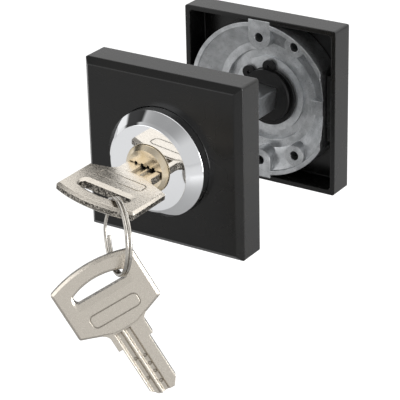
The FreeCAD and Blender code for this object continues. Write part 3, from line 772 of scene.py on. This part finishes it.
@dataclass
class SplitRing:
    """The spring-steel ring: two flat coils and a short crossing, ends ground flat."""

    steel: BrightSteel = field(default_factory=lambda: BrightSteel(
        "drawn_spring_wire", "spring_steel", ((0.4, "#C2BEB7"), (0.75, "#A7A29B")),
        smoothest=0.1, roughest=0.26, scuff=Grain(0.8, 4.0, 0.65)))
    wire_mm: float = 0.9
    pitch_mm: float = 0.96
    mean_r_mm: float = 10.0
    turns: float = 1.83
    start_deg: float = 39.0
    cross_from_deg: float = 306.0
    cross_to_deg: float = 353.0
    centre_mm: Point = (7.0, FRONT_MM - 31.0, -8.2)
    heading_deg: float = 141.6
    tilt_deg: float = 3.7
    steps: int = 190
    sides: int = 20
    end_bevel_mm: float = 0.12
    sharp_deg: float = 40.0

    def axes(self) -> Matrix:
        """Stands the ring where it hangs on the key.

        Returns:
            The matrix from the ring's own axes to the frame, in metres.
        """
        heading, tilt = math.radians(self.heading_deg), math.radians(self.tilt_deg)
        along = Vector((math.cos(heading), math.sin(heading), 0.0))
        up = Vector((0.0, 0.0, 1.0))
        steep = up * math.cos(tilt) + along.cross(up) * math.sin(tilt)
        turn = Matrix((along, steep, along.cross(steep))).transposed().to_4x4()
        return Matrix.Translation(Vector(self.centre_mm) * MM) @ turn

    def height(self, turned: float) -> float:
        """Returns the wire's height off the middle plane.

        Args:
            turned: Degrees along the wire from its start.

        Returns:
            The height in millimetres.
        """
        span = self.cross_to_deg - self.cross_from_deg
        t = min(max((turned - self.cross_from_deg) / span, 0.0), 1.0)
        return self.pitch_mm * (t * t * (3 - 2 * t) - 0.5)

    def stations(self) -> list[tuple[float, float]]:
        """Places the sections along the wire.

        Returns:
            Degrees from the wire's start, each with a share of the wire's full width.
        """
        total = 360.0 * self.turns
        bevel_deg = math.degrees(self.end_bevel_mm / self.mean_r_mm)
        tip = 1 - 2 * self.end_bevel_mm / self.wire_mm
        span = total - 2 * bevel_deg
        full = [(bevel_deg + span * k / self.steps, 1.0) for k in range(self.steps + 1)]
        return [(0.0, tip), *full, (total, tip)]

    def mesh(self) -> bpy.types.Mesh:
        """Sweeps the wire, with a small bevel at both ends.

        Returns:
            The ring's mesh.
        """
        place, stations = self.axes(), self.stations()
        vertices, faces = [], []
        for turned, share in stations:
            a = math.radians(self.start_deg + turned)
            out = Vector((math.cos(a), math.sin(a), 0.0))
            core = out * self.mean_r_mm + Vector((0.0, 0.0, self.height(turned)))
            for j in range(self.sides):
                b = 2 * math.pi * j / self.sides
                arm = (out * math.cos(b) + Vector((0.0, 0.0, math.sin(b)))) * share
                vertices.append(place @ ((core + arm * self.wire_mm / 2) * MM))
        for i in range(len(stations) - 1):
            here, there = i * self.sides, (i + 1) * self.sides
            for j in range(self.sides):
                k = (j + 1) % self.sides
                faces.append((here + j, here + k, there + k, there + j))
        last = (len(stations) - 1) * self.sides
        faces.append(tuple(range(self.sides)))
        faces.append(tuple(range(last + self.sides - 1, last - 1, -1)))
        mesh = bpy.data.meshes.new("wire_ring")
        mesh.from_pydata(vertices, [], faces)
        tidy_mesh(mesh, self.sharp_deg)
        return mesh

    def build(self, frame: dict) -> None:
        """Builds the ring in place of its CAD node.
        """
        finish = self.steel.material()
        ring = mesh_piece("wire_ring", self.mesh(), finish)
        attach(ring, "ring")
        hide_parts("split_ring")
        dress(frame, "split_ring", finish)


@dataclass
class Keys:
    """The key in the cylinder and the spare key."""

    rest_turn_deg: float = 8.0
    spare_face: Point = (-0.608, 0.784, -0.122)

    def build(self, frame: dict) -> None:
        """Dresses both keys, each with the grain set to its own faces.
        """
        turn = math.radians(self.rest_turn_deg)
        faces = {"lock_key": (math.sin(turn), 0.0, math.cos(turn)), "spare_key": self.spare_face}
        for node, face in faces.items():
            finish = NickelKey(f"tumbled_nickel_{node}", "nickel_key", face)
            dress(frame, node, finish.material())


@dataclass(frozen=True)
class SoftBox:
    """A round soft box that faces the object; its place and width are in metres."""

    name: str
    place: Point
    across: float
    watts: float
    aim: Point = (0.0, 0.01, 0.0)

    def build(self) -> None:
        """Adds the lamp to the scene."""
        data = bpy.data.lights.new(self.name, "AREA")
        data.shape = "DISK"
        data.size = self.across
        data.energy = self.watts
        light = bpy.data.objects.new(self.name, data)
        light.location = self.place
        way = Vector(self.aim) - Vector(self.place)
        light.rotation_euler = way.to_track_quat("-Z", "Y").to_euler()
        bpy.context.scene.collection.objects.link(light)


@dataclass
class Studio:
    """Floor, lights, background and camera."""

    lamps: tuple[SoftBox, ...] = (
        SoftBox("soft_box_top", (0.15, 0.3, 0.9), 1.7, 6.2),
        SoftBox("soft_box_right", (0.9, 0.35, 0.35), 1.13, 2.3),
        SoftBox("soft_box_front", (-0.56, -0.86, 0.5), 0.95, 2.5),
        SoftBox("soft_box_gap", (0.32, 0.01, 0.0), 0.2, 0.7),
    )
    white: str = "#FFFFFF"
    ambient: float = 0.45       # the room's light on dull surfaces; the camera and metal see 1
    room_front: float = 0.72    # the room on the camera's side is dimmer than the backdrop
    room_turn: tuple[float, float] = (-0.45, 0.35)      # between these Y headings it changes
    room_top: float = 0.5       # metal sees a dimmer ceiling behind the top soft box
    ceiling_turn: tuple[float, float] = (0.5, 0.9)      # between these Z headings it dims
    card_heading: Point = (-0.86, -0.03, 0.51)          # a black card that the metal mirrors
    card_turn: tuple[float, float] = (0.94, 0.975)      # cosines at its soft edge
    card_shade: float = 0.06
    floor_colour: str = "#E8E8E8"
    floor_drop_mm: float = 70.0
    floor_side: float = 6.0
    floor_glow: float = 0.5     # the share of the floor that is backdrop and not lit surface
    floor_seen: float = 1.6     # the backdrop's level for the camera, so that the floor is white
    painted_shadow_mm: float = 140.0    # this near to the object the floor's reflected glow is dimmed, a painted shadow
    painted_shadow_end_mm: float = 336.0
    painted_shadow_level: float = 0.1
    azimuth_deg: float = 33.286
    elevation_deg: float = 24.540
    roll_deg: float = -1.324
    focal_px: float = 1880.03
    image_px: float = 400.0
    sensor_mm: float = 36.0
    distance_mm: float = 506.45
    shift_right_mm: float = 10.43
    shift_up_mm: float = -10.725
    clip_start: float = 0.01

    def camera(self) -> None:
        """Adds the camera at the photograph's viewing angle."""
        a, e, r = (math.radians(v) for v in (self.azimuth_deg, self.elevation_deg, self.roll_deg))
        back = Vector((math.sin(a) * math.cos(e), -math.cos(a) * math.cos(e), math.sin(e)))
        level = Vector((math.cos(a), math.sin(a), 0.0))
        upright = back.cross(level)
        right = level * math.cos(r) + upright * math.sin(r)
        up = upright * math.cos(r) - level * math.sin(r)
        place = back * self.distance_mm + right * self.shift_right_mm + up * self.shift_up_mm
        place.y += FRONT_MM
        data = bpy.data.cameras.new("photo_view")
        data.sensor_fit = "HORIZONTAL"
        data.sensor_width = self.sensor_mm
        data.lens = self.focal_px * self.sensor_mm / self.image_px
        data.clip_start = self.clip_start
        camera = bpy.data.objects.new("photo_view", data)
        turn = Matrix((right, up, back)).transposed().to_4x4()
        camera.matrix_world = Matrix.Translation(place * MM) @ turn
        bpy.context.scene.collection.objects.link(camera)
        bpy.context.scene.camera = camera

    def world(self) -> None:
        """Makes the background white, and the room that dull surfaces and metal see."""
        world = bpy.data.worlds.new("white_surround")
        bpy.context.scene.world = world
        world.use_nodes = True
        tree = world.node_tree
        tree.nodes.clear()
        path = add_node(tree, "ShaderNodeLightPath")
        heading = add_node(tree, "ShaderNodeTexCoord").outputs["Generated"]
        way = add_node(tree, "ShaderNodeSeparateXYZ", inputs={0: heading})
        seen = add_node(tree, "ShaderNodeMath", {"operation": "MAXIMUM"}, {
            0: path.outputs["Is Camera Ray"], 1: path.outputs["Is Glossy Ray"]})
        seen = add_node(tree, "ShaderNodeMath", {"operation": "MAXIMUM"}, {
            0: seen.outputs[0], 1: path.outputs["Is Transmission Ray"]})
        ambient = add_node(tree, "ShaderNodeMapRange", inputs={
            "Value": seen.outputs[0], "To Min": self.ambient, "To Max": 1.0})
        depth = add_node(tree, "ShaderNodeMapRange", {"interpolation_type": "SMOOTHSTEP"}, {
            "Value": way.outputs["Y"], "From Min": self.room_turn[0], "From Max": self.room_turn[1],
            "To Min": self.room_front, "To Max": 1.0})
        toward = add_node(tree, "ShaderNodeVectorMath", {"operation": "DOT_PRODUCT"}, {
            0: heading, 1: self.card_heading})
        card = add_node(tree, "ShaderNodeMapRange", {"interpolation_type": "SMOOTHSTEP"}, {
            "Value": toward.outputs["Value"],
            "From Min": self.card_turn[0], "From Max": self.card_turn[1],
            "To Min": 1.0, "To Max": self.card_shade})
        ceiling = add_node(tree, "ShaderNodeMapRange", {"interpolation_type": "SMOOTHSTEP"}, {
            "Value": way.outputs["Z"],
            "From Min": self.ceiling_turn[0], "From Max": self.ceiling_turn[1],
            "To Min": 1.0, "To Max": self.room_top})
        ceiling = add_node(tree, "ShaderNodeMix", inputs={
            "Factor": path.outputs["Is Glossy Ray"], 2: 1.0, 3: ceiling.outputs["Result"]})
        room = add_node(tree, "ShaderNodeMath", {"operation": "MULTIPLY"}, {
            0: depth.outputs["Result"], 1: card.outputs["Result"]})
        room = add_node(tree, "ShaderNodeMath", {"operation": "MULTIPLY"}, {
            0: room.outputs[0], 1: ceiling.outputs[0]})
        level = add_node(tree, "ShaderNodeMix", inputs={
            "Factor": path.outputs["Is Camera Ray"], 2: room.outputs[0], 3: 1.0})
        level = add_node(tree, "ShaderNodeMath", {"operation": "MULTIPLY"}, {
            0: level.outputs[0], 1: ambient.outputs["Result"]})
        shade = add_node(tree, "ShaderNodeBackground", inputs={
            "Color": srgb(self.white), "Strength": level.outputs[0]})
        add_node(tree, "ShaderNodeOutputWorld", inputs={"Surface": shade.outputs[0]})

    def floor_finish(self) -> bpy.types.Material:
        """Makes the pale floor part lit surface and part white backdrop.

        Returns:
            The floor's material.
        """
        made = bpy.data.materials.new("pale_floor")
        made.use_nodes = True
        tree = made.node_tree
        tree.nodes.clear()
        path = add_node(tree, "ShaderNodeLightPath")
        away = add_node(tree, "ShaderNodeVectorMath", {"operation": "LENGTH"}, {
            0: add_node(tree, "ShaderNodeTexCoord").outputs["Object"]})
        # The glow that metal sees is dimmed near the object: a painted shadow of the object on the
        # floor.
        painted_shadow_fade = add_node(tree, "ShaderNodeMapRange", {"interpolation_type": "SMOOTHSTEP"}, {
            "Value": away.outputs["Value"],
            "From Min": self.painted_shadow_mm * MM, "From Max": self.painted_shadow_end_mm * MM,
            "To Min": self.painted_shadow_level, "To Max": 1.0})
        glossy = add_node(tree, "ShaderNodeMath", {"operation": "MULTIPLY"}, {
            0: path.outputs["Is Glossy Ray"], 1: painted_shadow_fade.outputs["Result"]})
        shown = add_node(tree, "ShaderNodeMath", {"operation": "MULTIPLY"}, {
            0: path.outputs["Is Camera Ray"], 1: self.floor_seen})
        seen = add_node(tree, "ShaderNodeMath", {"operation": "MAXIMUM"}, {
            0: shown.outputs[0], 1: glossy.outputs[0]})
        glow = add_node(tree, "ShaderNodeEmission", inputs={
            "Color": srgb(self.white), "Strength": seen.outputs[0]})
        dull = add_node(tree, "ShaderNodeBsdfDiffuse", inputs={"Color": srgb(self.floor_colour)})
        both = add_node(tree, "ShaderNodeMixShader", inputs={
            0: self.floor_glow, 1: dull.outputs[0], 2: glow.outputs[0]})
        add_node(tree, "ShaderNodeOutputMaterial", inputs={"Surface": both.outputs[0]})
        return made

    def floor(self) -> None:
        """Lays a plain pale floor under the object."""
        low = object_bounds()[0][2] - self.floor_drop_mm * MM
        half = self.floor_side / 2
        mesh = bpy.data.meshes.new("pale_floor")
        mesh.from_pydata(
            [(-half, -half, low), (half, -half, low), (half, half, low), (-half, half, low)],
            [], [(0, 1, 2, 3)])
        made = self.floor_finish()
        mesh_piece("pale_floor", mesh, made)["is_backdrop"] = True

    def build(self) -> None:
        """Sets up the studio."""
        bpy.context.scene.view_settings.view_transform = "Standard"
        self.world()
        self.floor()
        for lamp in self.lamps:
            lamp.build()
        self.camera()


def main() -> None:
    """Loads the frame, dresses every piece and sets up the studio."""
    logging.basicConfig(level=logging.INFO, format="%(name)s: %(message)s")
    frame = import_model()
    for part in (RoseCovers(), MountingPlates(), KeyCylinder(), TurnDrive(), SplitRing(), Keys()):
        part.build(frame)
    Studio().build()


if __name__ == "__main__":
    main()
